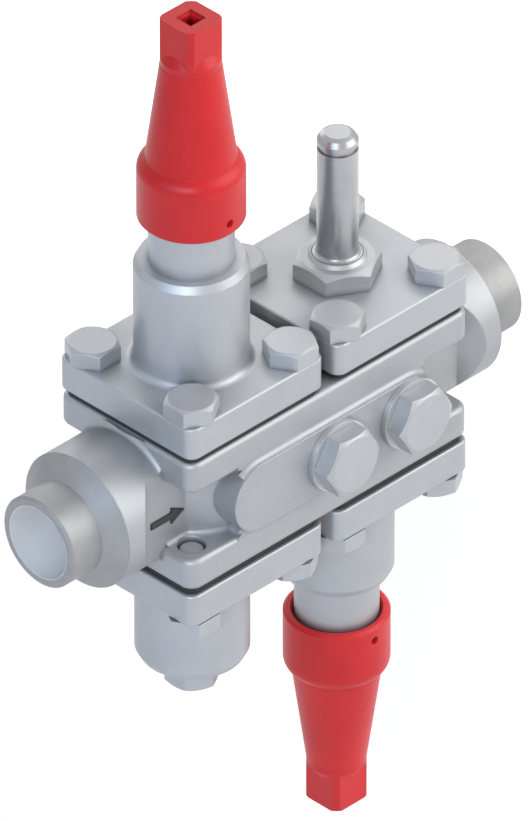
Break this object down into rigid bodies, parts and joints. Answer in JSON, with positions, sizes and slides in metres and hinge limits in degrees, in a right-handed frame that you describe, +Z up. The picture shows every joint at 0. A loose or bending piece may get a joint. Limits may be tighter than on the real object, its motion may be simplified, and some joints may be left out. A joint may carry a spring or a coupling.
{
  "type": "refrigeration valve station",
  "caption": "Bolted refrigeration valve station: cast housing in a pipe line with stop valves, strainer and solenoid module, butt-weld ends and red spindle caps.",
  "frame": {"origin": "centre of the inlet pipe stub's end face, on the pipe axis", "axes": "+X along the pipe from inlet to outlet, +Z up along the valve columns, -Y towards the side with the port plugs"},
  "size_m": [0.214, 0.0774, 0.3548],
  "materials": {
    "cast_steel": "blasted and zinc coated casting",
    "weld_steel": "turned, bright",
    "flange_steel": "machined and zinc coated",
    "bolt_steel": "cold forged, zinc plated",
    "gasket_black": "matt fibre and rubber",
    "cap_red": "moulded, satin",
    "spindle_steel": "ground",
    "brass": "turned",
    "ptfe": "smooth white",
    "tube_steel": "drawn, satin",
    "spring_steel": "drawn wire",
    "mesh_steel": "perforated sheet",
    "washer_metal": "soft, matt"
  },
  "bodies": {
    "root": {"housing": "cast_steel", "inlet_nipple": "weld_steel", "outlet_nipple": "weld_steel", "middle_port_plug": "bolt_steel", "middle_port_washer": "washer_metal", "outlet_port_plug": "bolt_steel", "outlet_port_washer": "washer_metal", "inlet_bonnet": "flange_steel", "inlet_gasket": "gasket_black", "inlet_bolts": "bolt_steel", "inlet_packing": "gasket_black", "inlet_gland": "brass", "outlet_bonnet": "flange_steel", "outlet_gasket": "gasket_black", "outlet_bolts": "bolt_steel", "outlet_packing": "gasket_black", "outlet_gland": "brass", "strainer_bonnet": "flange_steel", "strainer_gasket": "gasket_black", "strainer_bolts": "bolt_steel", "strainer_basket": "mesh_steel", "drain_plug": "bolt_steel", "drain_washer": "washer_metal", "solenoid_bonnet": "flange_steel", "solenoid_gasket": "gasket_black", "solenoid_bolts": "bolt_steel", "pilot_nozzle": "brass", "tube_gasket": "gasket_black", "armature_tube": "tube_steel", "tube_nut": "bolt_steel", "armature_spring": "spring_steel", "valve_insert": "spindle_steel", "insert_rings": "gasket_black", "piston_spring": "spring_steel"},
    "inlet_cap": {"inlet_cap": "cap_red", "inlet_cap_gasket": "gasket_black"},
    "outlet_cap": {"outlet_cap": "cap_red", "outlet_cap_gasket": "gasket_black"},
    "inlet_cone": {"inlet_cone": "spindle_steel", "inlet_cone_ring": "ptfe"},
    "outlet_cone": {"outlet_cone": "spindle_steel", "outlet_cone_ring": "ptfe"},
    "inlet_spindle": {"inlet_spindle": "spindle_steel"},
    "outlet_spindle": {"outlet_spindle": "spindle_steel"},
    "armature": {"armature": "spindle_steel"},
    "servo_piston": {"servo_piston": "spindle_steel", "piston_ring": "ptfe"}
  },
  "joints": [
    {"name": "inlet_cap_lift", "type": "slide", "parent": "root", "child": "inlet_cap", "axis": [0, 0, 1], "range_m": [0, 0.06]},
    {"name": "outlet_cap_lift", "type": "slide", "parent": "root", "child": "outlet_cap", "axis": [0, 0, -1], "range_m": [0, 0.06]},
    {"name": "inlet_cone_lift", "type": "slide", "parent": "root", "child": "inlet_cone", "axis": [0, 0, 1], "range_m": [0, 0.006]},
    {"name": "inlet_spindle_turn", "type": "hinge", "parent": "inlet_cone", "child": "inlet_spindle", "pos_m": [0.07237, 0, 0], "axis": [0, 0, 1], "range_deg": [0, 1080]},
    {"name": "outlet_cone_lift", "type": "slide", "parent": "root", "child": "outlet_cone", "axis": [0, 0, -1], "range_m": [0, 0.006]},
    {"name": "outlet_spindle_turn", "type": "hinge", "parent": "outlet_cone", "child": "outlet_spindle", "pos_m": [0.14163, 0, 0], "axis": [0, 0, -1], "range_deg": [0, 1080]},
    {"name": "armature_lift", "type": "slide", "parent": "root", "child": "armature", "axis": [0, 0, 1], "range_m": [0, 0.0025], "stiffness_N_per_m": 150, "springref_m": -0.004, "deforming": ["armature_spring"]},
    {"name": "piston_lift", "type": "slide", "parent": "root", "child": "servo_piston", "axis": [0, 0, 1], "range_m": [0, 0.0045], "stiffness_N_per_m": 400, "springref_m": -0.004, "deforming": ["piston_spring"]}
  ],
  "couplings": [
    {"joint": "inlet_spindle_turn", "follows": "inlet_cone_lift", "rad_per_m": 3141.6},
    {"joint": "outlet_spindle_turn", "follows": "outlet_cone_lift", "rad_per_m": 3141.6}
  ]
}
